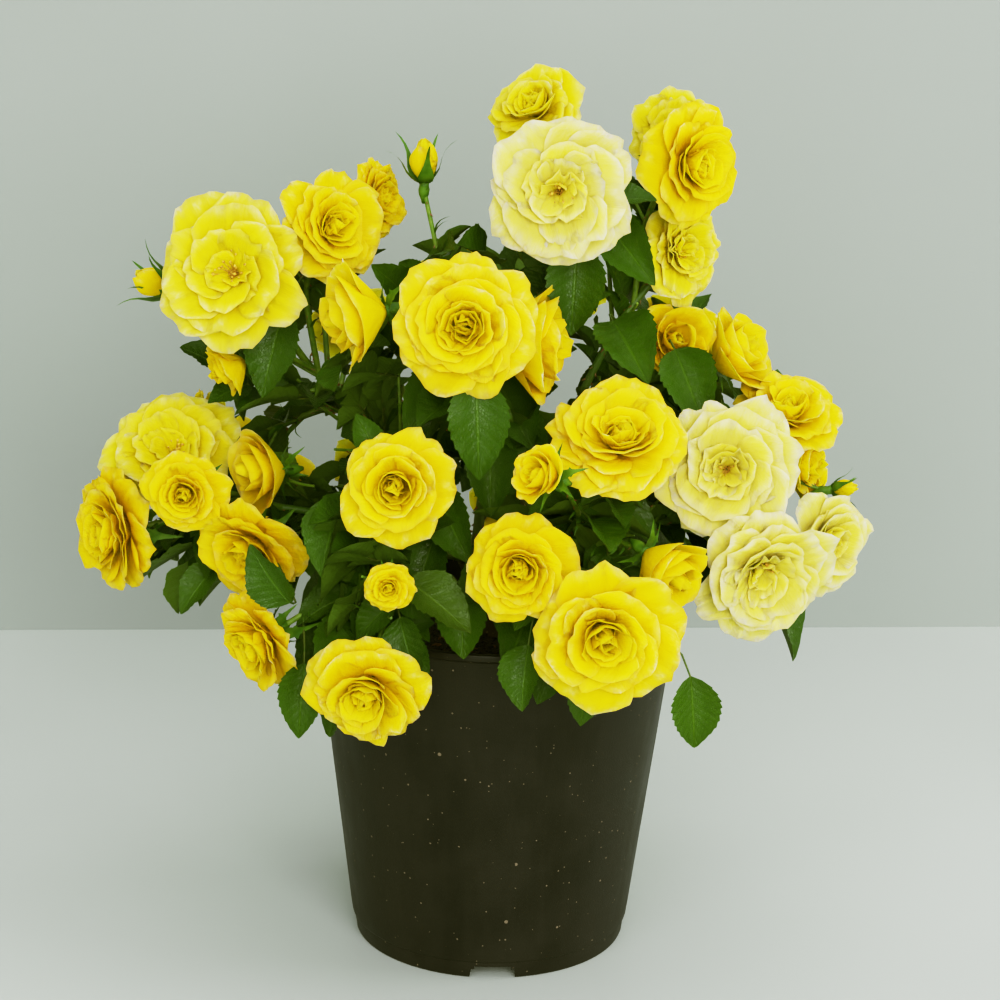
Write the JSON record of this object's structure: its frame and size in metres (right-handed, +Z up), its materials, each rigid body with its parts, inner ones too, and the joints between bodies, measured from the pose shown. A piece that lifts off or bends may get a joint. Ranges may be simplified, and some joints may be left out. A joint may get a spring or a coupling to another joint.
{
  "type": "potted rose bush",
  "caption": "Yellow patio rose in full flower, with glossy green leaves, standing in a round black plastic nursery pot.",
  "frame": {"origin": "middle of the pot's flat underside, on the ground", "axes": "+Z up along the pot's axis; -Y is the front, the side that the plant is looked at from; +X to the viewer's right"},
  "size_m": [0.3953, 0.3441, 0.4586],
  "materials": {
    "pot_plastic": "satin black, dusty",
    "potting_soil": "damp crumbly soil",
    "bark": "smooth green bark with prickles",
    "leaves_and_blooms": "glossy green leaves with yellow petals"
  },
  "bodies": {
    "root": {"pot": "pot_plastic", "soil": "potting_soil", "root_crown": "bark", "cane_upper_right": "bark", "cane_back_right": "bark", "cane_back_left": "bark", "cane_upper_left": "bark", "cane_top": "bark", "cane_front": "bark", "cane_right": "bark", "bough_top": "bark", "bough_right_shoulder": "bark", "bough_front_left": "bark", "bough_left": "bark", "bough_back_top": "bark", "bough_back_low_left": "bark", "bough_back_low_right": "bark", "foliage_upper_left": "leaves_and_blooms", "foliage_top_centre": "leaves_and_blooms", "foliage_top": "leaves_and_blooms", "foliage_upper_right": "leaves_and_blooms", "foliage_right_shoulder": "leaves_and_blooms", "foliage_right": "leaves_and_blooms", "foliage_front": "leaves_and_blooms", "foliage_front_left": "leaves_and_blooms", "foliage_left": "leaves_and_blooms", "foliage_back_left": "leaves_and_blooms", "foliage_back_top": "leaves_and_blooms", "foliage_back_right": "leaves_and_blooms", "foliage_back_low_left": "leaves_and_blooms", "foliage_back_low_right": "leaves_and_blooms"}
  },
  "joints": []
}
